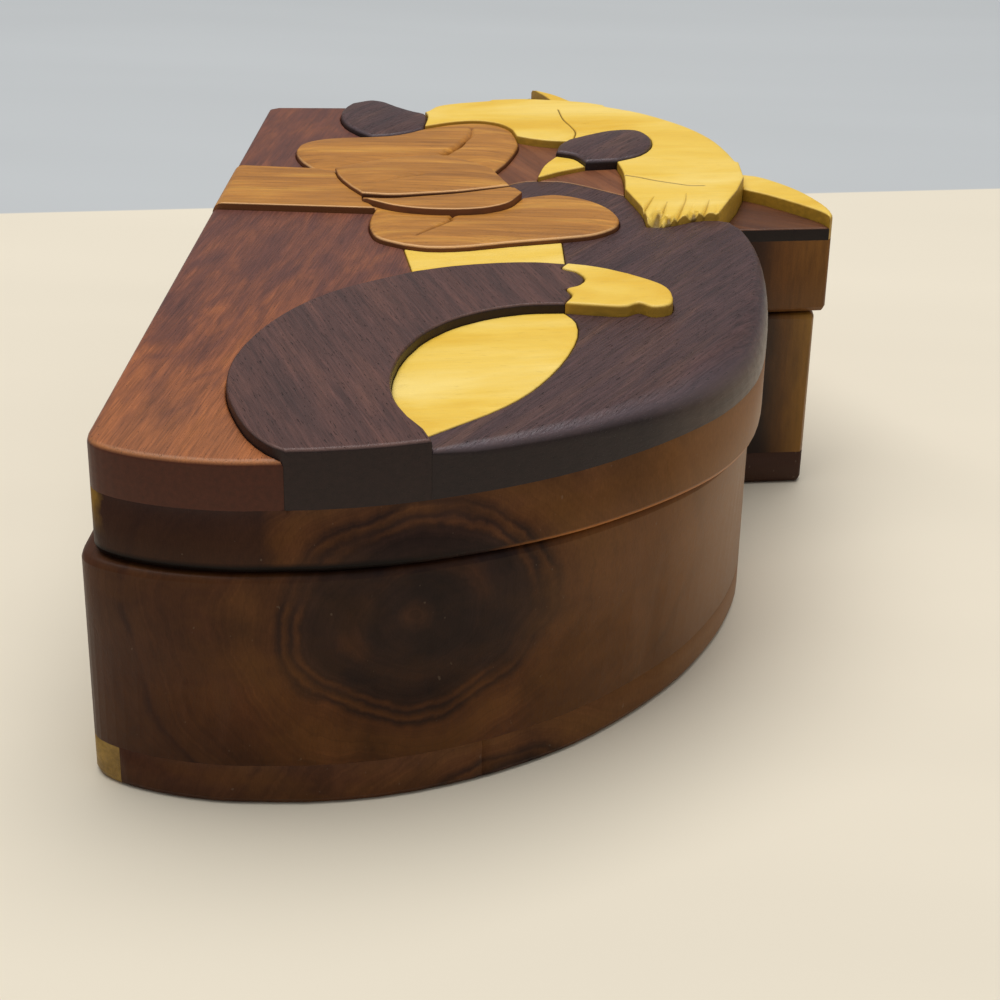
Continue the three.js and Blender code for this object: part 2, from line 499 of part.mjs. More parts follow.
// Hollow base: the sawn block, its two ear blocks and the boards underneath
function addBase(group) {
  const walls = { under: 0, rim: SEAM_ROUND, leaning: true };
  const hollow = new THREE.Shape(new THREE.CatmullRomCurve3(HOLLOW.map(([x, y]) => new THREE.Vector3(x, y, 0)), true,
    'centripetal').getPoints(HOLLOW.length * 3).slice(0, -1).map(({ x, y }) => new THREE.Vector2(x, y)));
  const hollowCut = new THREE.ExtrudeGeometry(hollow, { depth: WALL_HEIGHT + 2 * PAST, bevelEnabled: false })
    .translate(0, 0, BOTTOM_BOARD - PAST);
  const slot = keyBar(LEFT_WALL - PAST, LEFT_GROOVE_X + KEY_PLAY, KEY_PLAY);
  const wall = cut(block(MAIN_BLOCK, BOTTOM_BOARD, SEAM, walls), hollowCut, groove(LEFT_GROOVE_X, LEFT_GROOVE_START),
    groove(RIGHT_GROOVE_X, RIGHT_GROOVE_START), slot);
  const ear = (names) => tilted(block(names, BOTTOM_BOARD, SEAM, walls), KEY_BOTTOM - KEY_PLAY, BOTTOM_BOARD);
  add(group, 'base_wall', tilted(wall, KEY_BOTTOM - KEY_PLAY, BOTTOM_BOARD), WOOD.walnut);
  add(group, 'base_ear_block_right', ear(EAR_BLOCK), WOOD.olive);
  add(group, 'base_ear_block_far', ear(FAR_EAR_BLOCK), WOOD.olive);

  const slab = block(RIM, 0, BOTTOM_BOARD, { under: SEAM_ROUND, leaning: true });
  const box = new THREE.Box3().setFromBufferAttribute(slab.attributes.position).expandByScalar(PAST);
  const keep = (from, to) => {
    const size = new THREE.Vector3(to - from, box.max.y - box.min.y, box.max.z - box.min.z);
    return new THREE.BoxGeometry(size.x, size.y, size.z)
      .translate((from + to) / 2, (box.min.y + box.max.y) / 2, (box.min.z + box.max.z) / 2);
  };
  const board = (from, to) => fromManifold(toManifold(slab).intersect(toManifold(keep(from, to))));
  add(group, 'bottom_board_left', board(box.min.x, LEFT_STRIP), WOOD.sapwood);
  add(group, 'bottom_board_middle', board(LEFT_STRIP, RIGHT_BOARD), WOOD.walnut);
  add(group, 'bottom_board_right', board(RIGHT_BOARD, box.max.x), WOOD.walnut);
}

function addKey(group) {
  const outerEnd = LEFT_WALL - KEY_PULLED;
  const key = keyBar(outerEnd, outerEnd + KEY_LENGTH, 0);
  add(group, 'locking_key', tilted(key, KEY_BOTTOM - KEY_PLAY, BOTTOM_BOARD), WOOD.walnut);
}

// Lid: a board with two ear blocks, the runners glued under it and the inlay on top
function addLid(group) {
  const part = (names, top) => tilted(block(names, LID_BOTTOM, top, { under: SEAM_ROUND }), LID_BOTTOM + SEAM_ROUND, top);
  add(group, 'lid_board', part(MAIN_BLOCK, INLAY_BOTTOM), WOOD.walnut);
  add(group, 'lid_ear_block_right', part(EAR_BLOCK, EAR_TOP), WOOD.olive);
  add(group, 'lid_ear_block_far', part(FAR_EAR_BLOCK, EAR_TOP), WOOD.olive);

  const leftX = LEFT_GROOVE_X - LID_SHIFT_X;
  const leftFront = LEFT_GROOVE_START + RUNNER_PLAY;
  const pocket = KEY_WIDTH / 2 + POCKET_PLAY;
  const keyInLid = KEY_Y - LID_OPEN;
  add(group, 'runner_left_front', runner(leftX, leftFront, keyInLid - pocket), WOOD.teak);
  const rightX = RIGHT_GROOVE_X - LID_SHIFT_X;
  const rightFront = RIGHT_GROOVE_START + RUNNER_PLAY;
  add(group, 'runner_left_rear', runner(leftX, keyInLid + pocket, BOX_LENGTH - LEFT_RUNNER_SHORT), WOOD.teak);
  add(group, 'runner_right', runner(rightX, rightFront, BOX_LENGTH - RIGHT_RUNNER_SHORT), WOOD.teak);

  for (const [name, [names, raise, wood]] of Object.entries(PIECES)) {
    const [rim, steps] = RIM_ROUNDS[name] ?? [RIM_ROUND, ROUND_STEPS];
    const low = name.startsWith('ear') ? EAR_TOP : INLAY_BOTTOM;
    add(group, name, block(names, low, INLAY_TOP + raise, { rim, inner: PIECE_ROUND, steps }), wood);
  }
}

const box = new THREE.Group();
box.name = 'intarsia_puzzle_box';
const lid = new THREE.Group();
lid.name = 'lid';
lid.position.set(LID_SHIFT_X, LID_OPEN, 0);
addBase(box);
addKey(box);
addLid(lid);
box.add(lid);

// Stand the whole box on the floor with its middle over the origin
const size = new THREE.Box3().setFromObject(box);
box.position.set(-(size.min.x + size.max.x) / 2, -(size.min.y + size.max.y) / 2, -size.min.z);

export default box;
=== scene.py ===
# Looks for the wooden intarsia puzzle box: every visible piece is rebuilt finely over its CAD solid.
import json
import math

import bmesh
import bpy
import numpy as np
from mathutils import Matrix, Vector
from mathutils.geometry import delaunay_2d_cdt


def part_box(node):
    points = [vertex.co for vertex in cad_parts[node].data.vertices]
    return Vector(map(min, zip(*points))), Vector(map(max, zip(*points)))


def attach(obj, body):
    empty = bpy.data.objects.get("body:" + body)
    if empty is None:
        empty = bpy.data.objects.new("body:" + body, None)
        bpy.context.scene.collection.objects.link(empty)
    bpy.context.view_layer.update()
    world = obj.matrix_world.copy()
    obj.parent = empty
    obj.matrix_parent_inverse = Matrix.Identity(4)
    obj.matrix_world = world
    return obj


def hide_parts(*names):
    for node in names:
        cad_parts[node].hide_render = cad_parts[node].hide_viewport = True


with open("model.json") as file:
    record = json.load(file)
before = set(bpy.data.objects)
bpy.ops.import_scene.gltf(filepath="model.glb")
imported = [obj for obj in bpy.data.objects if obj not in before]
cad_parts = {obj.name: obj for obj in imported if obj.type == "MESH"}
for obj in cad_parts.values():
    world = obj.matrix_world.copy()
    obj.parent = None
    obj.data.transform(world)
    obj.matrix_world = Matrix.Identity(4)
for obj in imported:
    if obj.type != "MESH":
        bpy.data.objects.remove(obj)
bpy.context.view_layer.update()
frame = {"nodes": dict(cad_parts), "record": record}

MM = 0.001
ZERO = np.array([-57.179, -103.847])     # the zero point of the part's drawing, in millimetres
LID_SHIFT = np.array([2.0, 0.4])         # how far the lid's drawing is moved from the base's

# Camera, from the photograph: focal length in pixels of a picture 1000 wide, height and ground point
PICTURE_WIDTH = 1000
FOCAL = 2149
PITCH = math.radians(26.312)
ROLL = math.radians(1.2)
YAW = math.radians(2.97)
CAMERA_HEIGHT = 192.335
CAMERA_GROUND = np.array([76.961, -278.563])

# Meshes, in millimetres
SAME_LEVEL = 0.02      # corners this close in height belong to one flat face
TOUCHING = 0.5         # corners this close to another outline run along it
OUTWARD = 0.45         # a side of the lid's boards this far from the other boards faces outwards
ON_RIM = 0.05          # a side this close to the lid's rim is part of it
JOINT_FILL = 0.13      # each inlay piece reaches this far into the glued joint around it
CURVE_STEP = 0.4       # length of the steps along a carved line
GRID = 1.5             # width of the mesh's grid where nothing is carved
POINT_GAP = 0.12       # least distance between two points of a top face
EDGE_GAP = 0.03        # least distance from a point inside to the outline
THINNEST = 0.8         # wood that is always left under a carving

# The floor's two tones meet where Y = TABLE_END + TABLE_SLOPE * X, in the drawing's millimetres
TABLE_END = 290.0
TABLE_SLOPE = 0.1976

BODY = {n: b for b, nodes in frame["record"]["behaviour"]["bodies"].items() for n in nodes}


def linear(*rgb):
    """An 8-bit screen colour as linear light."""
    def channel(value):
        value /= 255
        return value / 12.92 if value <= 0.04045 else ((value + 0.055) / 1.055) ** 2.4
    return (*[channel(v) for v in rgb], 1.0)


def grey(value):
    return (value, value, value, 1)


def on_lid(points):
    """Points of the lid's drawing, in the frame's millimetres."""
    return points + ZERO + LID_SHIFT


def following(ring):
    """The next corner for each corner of a closed outline."""
    return np.roll(ring, -1, axis=0)


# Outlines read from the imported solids

def welded(name):
    """A copy of a CAD node's mesh with its split corners joined again."""
    bm = bmesh.new()
    bm.from_mesh(frame["nodes"][name].data)
    bmesh.ops.remove_doubles(bm, verts=bm.verts, dist=1e-6)
    return bm


def flat_outline(name, pick=min):
    """The outline of a node's flat underside, or top with pick=max, counter-clockwise, in millimetres."""
    bm = welded(name)
    level = pick(v.co.z for v in bm.verts)
    # A dict, unlike a set, keeps the faces in order, so the outline starts at the same corner each run
    flat = dict.fromkeys(f for f in bm.faces if all(abs(v.co.z - level) < SAME_LEVEL * MM for v in f.verts))
    after = {}
    for face in flat:
        for loop in face.loops:
            if not any(f in flat and f is not face for f in loop.edge.link_faces):
                after[loop.vert] = loop.link_loop_next.vert
    ring = [next(iter(after))]
    while after[ring[-1]] is not ring[0]:
        ring.append(after[ring[-1]])
    points = np.array([[v.co.x, v.co.y] for v in ring]) / MM
    bm.free()
    x, y = points.T
    area = np.dot(x, np.roll(y, -1)) - np.dot(y, np.roll(x, -1))
    return points if area > 0 else points[::-1].copy()


def side_distances(points, starts, ends):
    """Distance from every point to every side."""
    side = ends - starts
    gap = points[:, None] - starts[None]
    share = np.clip((gap * side).sum(-1) / np.maximum((side ** 2).sum(-1), 1e-12), 0, 1)
    return np.linalg.norm(gap - share[..., None] * side, axis=-1)


def outline_distance(points, ring):
    """Distance from every point to a closed outline."""
    return side_distances(points, ring, following(ring)).min(1)


def inside(points, ring):
    """Which points lie inside a closed outline."""
    x, y = points[:, 0:1], points[:, 1:2]
    x0, y0 = ring[:, 0], ring[:, 1]
    x1, y1 = np.roll(x0, -1), np.roll(y0, -1)
    slope = (x1 - x0) / np.where(y1 == y0, 1e-9, y1 - y0)
    crosses = ((y0 > y) != (y1 > y)) & (x < slope * (y - y0) + x0)
    return crosses.sum(1) % 2 == 1


def shared_edge(name, other):
    """Where one piece's outline runs along another's, from left to right, in drawing points."""
    ring = flat_outline(name)
    line = ring[outline_distance(ring, flat_outline(other)) < TOUCHING]
    return line[np.argsort(line[:, 0])] - ZERO - LID_SHIFT


def rim_sides():
    """Sides of the lid's boards that face outwards, without the joints between the boards."""
    rings = [flat_outline(n, max) for n in ("lid_board", "lid_ear_block_right", "lid_ear_block_far")]
    starts, ends = [], []
    for ring in rings:
        middle = (ring + following(ring)) / 2
        others = [outline_distance(middle, other) for other in rings if other is not ring]
        outward = np.min(others, axis=0) > OUTWARD
        starts.append(ring[outward])
        ends.append(following(ring)[outward])
    return np.concatenate(starts), np.concatenate(ends)


RIM = rim_sides()


# Fine solids over those outlines

def resampled(points, step):
    """The same line in steps no longer than the given length, with its corners kept."""
    out = [points[:1]]
    for a, b in zip(points[:-1], points[1:]):
        count = max(1, math.ceil(np.linalg.norm(b - a) / step))
        out.append(a + (b - a) * np.arange(1, count + 1)[:, None] / count)
    return np.concatenate(out)


def curve_through(points, step):
    """A smooth curve through the given points, in steps of about the given length."""
    padded = np.concatenate([[2 * points[0] - points[1]], points, [2 * points[-1] - points[-2]]])
    t = np.linspace(0, 1, 12, endpoint=False)[:, None]
    runs = []
    for p0, p1, p2, p3 in zip(padded, padded[1:], padded[2:], padded[3:]):
        runs.append(0.5 * (2 * p1 + (p2 - p0) * t + (2 * p0 - 5 * p1 + 4 * p2 - p3) * t ** 2
                           + (3 * p1 - p0 - 3 * p2 + p3) * t ** 3))
    return resampled(np.concatenate([*runs, points[-1:]]), step)


class Carving:
    """A line carved into a top face; its depth and half width run from its first end to its last."""
    def __init__(self, points, depth, half_width=(0.4, 0.4), dirt_and_shade=1.0, bowl=False):
        points = on_lid(np.array(points, float))
        line = curve_through if len(points) > 2 else resampled
        self.points = line(points, CURVE_STEP)
        self.depth = depth
        self.half_width = half_width
        self.dirt_and_shade = dirt_and_shade
        self.bowl = bowl

    def extra_points(self):
        """Rows of points along the line and beside it."""
        way = np.gradient(self.points, axis=0)
        way /= np.linalg.norm(way, axis=1, keepdims=True)
        across = np.stack([-way[:, 1], way[:, 0]], axis=1)
        across *= np.linspace(*self.half_width, len(self.points))[:, None]
        return np.concatenate([self.points + across * k for k in (-1.5, -1, -0.5, 0, 0.5, 1, 1.5)])

    def cut(self, points):
        """How deep the line is at each point, and how dark: the darkness is partly dirt in the cut, partly
        painted shade.
        """
        away = side_distances(points, self.points[:-1], self.points[1:])
        share = away.argmin(1) / max(1, len(self.points) - 2)
        depth, half = (first + (last - first) * share for first, last in (self.depth, self.half_width))
        reach = np.clip(1 - away.min(1) / half, 0, 1)
        profile = 1 - (1 - reach) ** 2 if self.bowl else reach ** 1.3
        return depth * profile, reach * self.dirt_and_shade


def spaced(points, least):
    """Drop points that stand closer than the given distance to one kept before."""
    kept, cells = [], {}
    for p in points:
        column, row = int(p[0] // least), int(p[1] // least)
        near = [q for i in (-1, 0, 1) for j in (-1, 0, 1) for q in cells.get((column + i, row + j), ())]
        if all((p[0] - q[0]) ** 2 + (p[1] - q[1]) ** 2 >= least ** 2 for q in near):
            cells.setdefault((column, row), []).append(p)
            kept.append(p)
    return np.array(kept).reshape(-1, 2)


def along(points, stations):
    """The value that belongs to each point, read off the nearest place of a line of x, y and value."""
    line = np.array(stations, float)
    spots = on_lid(line[:, :2])
    nearest = side_distances(points, spots[:-1], spots[1:]).argmin(1)
    a, b = spots[nearest], spots[nearest + 1]
    share = np.clip(((points - a) * (b - a)).sum(1) / ((b - a) ** 2).sum(1), 0, 1)
    return line[nearest, 2] + (line[nearest + 1, 2] - line[nearest, 2]) * share


def filled_outline(name, rim, inner, step):
    """A node's outline in short steps and widened into its joints, each side's rounding radius, and the way
    inwards at each corner."""
    corners = flat_outline(name)
    ring = resampled(np.concatenate([corners, corners[:1]]), step)[:-1]
    middle = (ring + following(ring)) / 2
    on_rim = side_distances(middle, *RIM).min(1) < ON_RIM
    radius = np.where(on_rim, rim if np.isscalar(rim) else along(middle, rim), inner)
    way = following(ring) - ring
    way /= np.linalg.norm(way, axis=1, keepdims=True)
    inward = np.stack([-way[:, 1], way[:, 0]], axis=1)
    bisector = inward + np.roll(inward, 1, axis=0)
    bisector /= np.maximum(np.linalg.norm(bisector, axis=1, keepdims=True), 0.2)
    # Where the rim meets a joint, the corner moves along the rim, so that neighbours stay flush there
    rim_before = np.roll(on_rim, 1)
    outward = -np.where((on_rim & ~rim_before)[:, None], np.roll(inward, 1, axis=0),
                        np.where((rim_before & ~on_rim)[:, None], inward, bisector))
    ring = ring + outward * (~(on_rim & rim_before) * JOINT_FILL)[:, None]
    return ring, radius, bisector


def top_points(ring, radius, bisector, carvings):
    """Points of a top face: rows along the carved lines and round the rounded rim, and an even grid."""
    candidates = [carving.extra_points() for carving in carvings]
    at_corner = (radius + np.roll(radius, 1)) / 2
    for angle in (22.5, 45, 67.5, 90) if radius.max() < 1.2 else (15, 30, 45, 60, 75, 90):
        reach = at_corner * (1 - math.cos(math.radians(angle)))
        candidates.append(ring + bisector * reach[:, None])
    (x0, y0), (x1, y1) = ring.min(0), ring.max(0)
    rows = enumerate(np.arange(y0, y1, GRID * 0.87))
    candidates.append(np.array([(x + (GRID / 2 if k % 2 else 0), y)
                                for k, y in rows for x in np.arange(x0, x1, GRID)]))
    candidates = np.concatenate(candidates)
    candidates = candidates[inside(candidates, ring)]
    return spaced(candidates[outline_distance(candidates, ring) > EDGE_GAP], POINT_GAP)


def surface(points, ring, radius, thickness, dome, carvings):
    """Height of a top face over the underside, and how dark and how far turned to the side each point is."""
    away = side_distances(points, ring, following(ring))
    left = np.clip(radius - away, 0, None)
    drop = radius - np.sqrt(np.clip(radius ** 2 - left ** 2, 0, None))
    turned = (drop / radius).max(1)
    height = thickness - drop.max(1)
    rise, width = dome
    height -= rise * np.clip(1 - away.min(1) / width, 0, 1) ** 2
    shade = np.zeros(len(points))
    for carving in carvings:
        depth, dark = carving.cut(points)
        height -= depth
        shade = np.maximum(shade, dark)
    return np.maximum(height, THINNEST), shade, turned


def inlay(name, material, rim=1.4, inner=0.4, dome=(0, 1), carvings=(), step=0.6):
    """A rounded, domed and carved piece standing on the outline of a CAD node's underside."""
    low, high = (corner[2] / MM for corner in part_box(name))
    ring, radius, bisector = filled_outline(name, rim, inner, step)
    points = np.concatenate([ring, top_points(ring, radius, bisector, carvings)])
    count = len(ring)
    sides = [(i, (i + 1) % count) for i in range(count)]
    flat, _, faces, origin, _, _ = delaunay_2d_cdt([Vector(p) for p in points], sides, [], 1, 1e-6)
    flat = np.array([tuple(p) for p in flat])
    height, shade, turned = surface(flat, ring, radius, high - low, dome, carvings)

    bm = bmesh.new()
    crease = bm.verts.layers.float.new("crease")
    flank = bm.verts.layers.float.new("flank")
    top = []
    for (x, y), z, dark, side in zip(flat, height + low, shade, turned):
        vert = bm.verts.new((x * MM, y * MM, z * MM))
        vert[crease] = dark
        vert[flank] = side
        top.append(vert)
    for face in faces:
        bm.faces.new([top[i] for i in face])
    corner = {origin[i][0]: i for i in range(len(flat)) if origin[i] and origin[i][0] < count}
    edge = [top[corner[i]] for i in range(count)]
    feet = [bm.verts.new((v.co.x, v.co.y, low * MM)) for v in edge]
    for foot in feet:
        foot[flank] = 1
    for i, k in sides:
        bm.faces.new((edge[k], edge[i], feet[i], feet[k]))
    bm.faces.new(feet[::-1])
    return finished(bm, name, material)


def finished(bm, name, material, angle=50):
    """Turn a worked mesh into the visible piece that replaces a CAD node."""
    bmesh.ops.recalc_face_normals(bm, faces=bm.faces)
    mesh = bpy.data.meshes.new("fine_" + name)
    bm.to_mesh(mesh)
    bm.free()
    mesh.shade_smooth()
    mesh.set_sharp_from_angle(angle=math.radians(angle))
    piece = bpy.data.objects.new("fine_" + name, mesh)
    bpy.context.scene.collection.objects.link(piece)
    mesh.materials.append(material)
    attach(piece, BODY[name])
    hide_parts(name)
    return piece


def carried(name, material, angle=28):
    """The node's own shape with smooth shading over its small facets."""
    return finished(welded(name), name, material, angle)


# Wood, mixed from noise in the object's own millimetres

class Tree:
    """A short way to build a material's nodes."""
    def __init__(self, name):
        self.material = bpy.data.materials.new(name)
        self.material.use_nodes = True
        self.nodes = self.material.node_tree.nodes
        self.links = self.material.node_tree.links
        self.shader = self.nodes["Principled BSDF"]

    def add(self, kind, inputs=None, **settings):
        node = self.nodes.new("ShaderNode" + kind)
        for key, value in settings.items():
            setattr(node, key, value)
        for key, value in (inputs or {}).items():
            self.set(node.inputs[key], value)
        return node

    def set(self, socket, value):
        if isinstance(value, bpy.types.NodeSocket):
            self.links.new(value, socket)
        else:
            socket.default_value = value

    def place(self, angle=0.0, scale=(1, 1, 1), shift=(0, 0, 0)):
        """Object coordinates in millimetres, turned so that X runs along the grain, then scaled."""
        here = self.add("TexCoord").outputs["Object"]
        size = self.add("VectorMath", {0: here, 1: (1 / MM,) * 3}, operation="MULTIPLY").outputs[0]
        turn = self.add("VectorRotate", {"Vector": size, "Angle": -angle}, rotation_type="Z_AXIS").outputs[0]
        return self.add("VectorMath", {0: turn, 1: scale, 2: shift}, operation="MULTIPLY_ADD").outputs[0]

    def drawing(self):
        """X, Y and Z in millimetres from the drawing's zero point."""
        return self.add("SeparateXYZ", {0: self.place(shift=(-ZERO[0], -ZERO[1], 0))}).outputs

    def noise(self, vector, detail, rough=0.5, distortion=0.0):
        return self.add("TexNoise", {"Vector": vector, "Scale": 1.0, "Detail": detail, "Roughness": rough,
                                     "Distortion": distortion}).outputs["Fac"]

    def ramp(self, fac, stops, interpolation="LINEAR"):
        node = self.add("ValToRGB", {"Fac": fac})
        node.color_ramp.interpolation = interpolation
        elements = node.color_ramp.elements
        while len(elements) < len(stops):
            elements.new(0.5)
        for element, (place, colour) in zip(elements, stops):
            element.position = place
            element.color = colour
        return node.outputs["Color"]

    def span_ramp(self, value, stops, interpolation="LINEAR"):
        """Screen colours at given values, whatever range these have."""
        first, last = stops[0][0], stops[-1][0]
        stops = [((at - first) / (last - first), linear(*rgb)) for at, rgb in stops]
        return self.ramp(self.stretch(value, first, last), stops, interpolation)

    def math(self, operation, a, b=0.0, c=0.0):
        return self.add("Math", {0: a, 1: b, 2: c}, operation=operation).outputs[0]

    def stretch(self, fac, low, high, to_low=0.0, to_high=1.0):
        return self.add("MapRange", {"Value": fac, "From Min": low, "From Max": high, "To Min": to_low,
                                     "To Max": to_high}).outputs[0]

    def mix(self, fac, a, b, blend="MIX"):
        node = self.add("Mix", {"Factor": fac}, data_type="RGBA", blend_type=blend)
        self.set(node.inputs[6], a)
        self.set(node.inputs[7], b)
        return node.outputs[2]

    def vary(self, colour, fac, low, high):
        """Darken and lighten a colour by a noise, from one factor to the other."""
        return self.mix(1.0, colour, self.ramp(fac, [(0.3, grey(low)), (0.7, grey(high))]), "MULTIPLY")

    def tint(self, colour, amount, *rgb):
        """Mix a screen colour in."""
        return self.mix(amount, colour, linear(*rgb))

    def lacquered(self, colour, fibres, height, relief, roughness, level=0.25):
        """The finished surface: colour, fine relief in millimetres and a satin lacquer over the fibres."""
        self.set(self.shader.inputs["Base Color"], colour)
        bump = self.add("Bump", {"Height": height, "Distance": relief * MM, "Strength": 1.0}).outputs[0]
        self.set(self.shader.inputs["Normal"], bump)
        rough = self.stretch(fibres, 0.2, 0.8, roughness - 0.05, roughness + 0.07)
        self.set(self.shader.inputs["Roughness"], rough)
        self.shader.inputs["Specular IOR Level"].default_value = level
        return self.material


def wood(name, stops, side, angle=0.0, figure=(0.03, 0.22, 0.22), shift=(0, 0, 0), fibre=0.12,
         fibre_scale=6.0, streak=0.2, pores=0.3, grit=0.35, roughness=0.42, relief=0.05, lines=(40, 26, 18),
         painted_light_side_right=None, painted_edge_highlight=(0.4, (210, 160, 110)), tints=()):
    """Lacquered wood of an inlay piece: broad figure in the given colours, streaks, fine fibre and pores,
    then flanks darkened by darker cut wood and painted shade, a painted highlight on front-facing edges
    and carved lines darkened by dirt and painted shade."""
    tree = Tree(name)
    angle = math.radians(angle)
    broad = tree.noise(tree.place(angle, figure, shift), 4, 0.55, 0.6)
    streaks = tree.noise(tree.place(angle, (0.02, 1.1, 1.1), shift), 4, 0.6)
    fibres = tree.noise(tree.place(angle, (0.14, fibre_scale, fibre_scale), shift), 3, 0.6)
    pore = tree.stretch(tree.noise(tree.place(angle, (grit, 4.0, 4.0), shift), 2), 0.66, 0.74)
    x, y, _ = tree.drawing()

    colour = tree.ramp(tree.stretch(broad, 0.28, 0.72), [(at, linear(*rgb)) for at, rgb in stops])
    colour = tree.vary(colour, streaks, 1 - streak, 1 + streak)
    if tints:
        uneven = tree.math("MULTIPLY_ADD", broad, -30.0, y)
        for first, last, amount, rgb in tints:
            colour = tree.tint(colour, tree.stretch(uneven, first, last, 0, amount), *rgb)
    colour = tree.vary(colour, fibres, 1 - fibre, 1 + fibre)
    colour = tree.mix(tree.math("MULTIPLY", pore, pores), colour, grey(0.0))

    flank = tree.add("Attribute", attribute_name="flank").outputs["Fac"]
    # Flank colour: partly the darker cut sides of the wood, partly painted shade on the sides
    dark = linear(*side)
    # Painted light: the flanks turn paler towards the right end
    if painted_light_side_right:
        dark = tree.tint(dark, tree.stretch(x, 84.0, 104.0), *painted_light_side_right)
    dark = tree.vary(dark, streaks, 0.8, 1.2)
    # Painted highlight: a light band on the rounded top edges that face the front
    facing = tree.add("SeparateXYZ", {0: tree.add("NewGeometry").outputs["Normal"]}).outputs[1]
    at_front = tree.stretch(facing, -0.12, -0.5, 0, painted_edge_highlight[0])
    colour = tree.tint(colour, tree.math("MULTIPLY", tree.stretch(flank, 0.0, 0.06), at_front), *painted_edge_highlight[1])
    colour = tree.mix(tree.stretch(flank, 0.3, 0.7, 0, 0.95), colour, dark)
    # Carved lines darkened: partly dirt in the cuts, partly painted shade in the hollows
    crease = tree.add("Attribute", attribute_name="crease").outputs["Fac"]
    colour = tree.tint(colour, tree.stretch(crease, 0.3, 0.9, 0, 0.85), *lines)

    wave = tree.math("SUBTRACT", fibres, tree.math("MULTIPLY", pore, 0.8))
    wave = tree.math("MULTIPLY", wave, tree.stretch(flank, 0.1, 0.5, 1.0, 0.25))
    return tree.lacquered(colour, fibres, wave, relief, roughness)


# Growth rings of the log: distance from its heart in millimetres, then the colour there
RINGS = [(0, (66, 41, 27)), (3, (42, 27, 22)), (7, (41, 26, 21)), (9.5, (64, 38, 24)), (11.5, (44, 27, 22)),
         (13.5, (39, 24, 20)), (15.5, (47, 29, 22)), (16.6, (80, 48, 27)), (17.6, (48, 29, 21)),
         (18.8, (86, 52, 27)), (19.8, (52, 31, 21)), (21.2, (84, 50, 26)), (25, (94, 58, 28)),
         (31, (82, 48, 26)), (36, (78, 46, 25)), (42.4, (86, 53, 28)), (43.7, (52, 31, 22)),
         (45.2, (86, 54, 30)), (52, (80, 48, 28)), (60, (74, 43, 25))]
# The same without the narrow rings, for the patches where they fade out
PLAIN = [(0, (50, 32, 24)), (8, (41, 26, 21)), (15, (46, 29, 22)), (19, (60, 37, 23)), (22.5, (84, 50, 26)),
         (36, (78, 46, 25)), (60, (76, 45, 26))]


def ring_distance(tree, x, y, z, heart, turn):
    """Distance from the log's heart, which runs back from the front wall, made a little uneven."""
    bend = tree.noise(tree.place(0, (0.05, 0.008, 0.05), (turn, 0, 0)), 2)
    wobble = tree.noise(tree.place(0, (0.5, 0.03, 0.5), (turn, 0, 0)), 3, 0.6)
    across = tree.math("SUBTRACT", x, tree.math("MULTIPLY_ADD", y, 0.04, heart[0]))
    up = tree.math("MULTIPLY", tree.math("SUBTRACT", z, heart[1]), 1.1)
    square = tree.math("ADD", tree.math("MULTIPLY", across, across), tree.math("MULTIPLY", up, up))
    radius = tree.math("ADD", tree.math("SQRT", square), tree.math("MULTIPLY_ADD", bend, 11.0, -5.5))
    return tree.math("ADD", radius, tree.math("MULTIPLY_ADD", wobble, 1.6, -0.8))


def lid_stains_and_painted_light(tree, colour, x, y, z, mottle, moved):
    """The lid's dark left end, its sapwood corner, a painted shadow along the seam and a painted highlight on
    the lower edge.
    """
    stained = tree.math("MULTIPLY_ADD", mottle, 5.0, x)
    colour = tree.tint(colour, tree.stretch(stained, 29.5, 32.0, 0.7, 0), 46, 28, 21)
    sap = tree.math("MULTIPLY", tree.stretch(moved, 9.5, 7.0), tree.stretch(z, 43.0, 48.0))
    colour = tree.tint(colour, sap, 128, 94, 34)
    over_seam = tree.math("MULTIPLY_ADD", y, 0.0185, tree.math("SUBTRACT", z, 39.8))
    # Painted shadow: a near-black band above the seam, where the gap under the lid lies in shade
    seam_shadow = tree.math("MULTIPLY", tree.stretch(over_seam, 1.9, 1.1), tree.stretch(x, 66.0, 48.0))
    colour = tree.tint(colour, seam_shadow, 14, 8, 6)
    # Painted highlight: a light band on the lid's rounded lower edge towards the right
    painted_edge_highlight = tree.math("MULTIPLY", tree.stretch(over_seam, 0.95, 0.6, 0, 0.7), tree.stretch(x, 60.0, 74.0))
    return tree.tint(colour, painted_edge_highlight, 190, 122, 66)


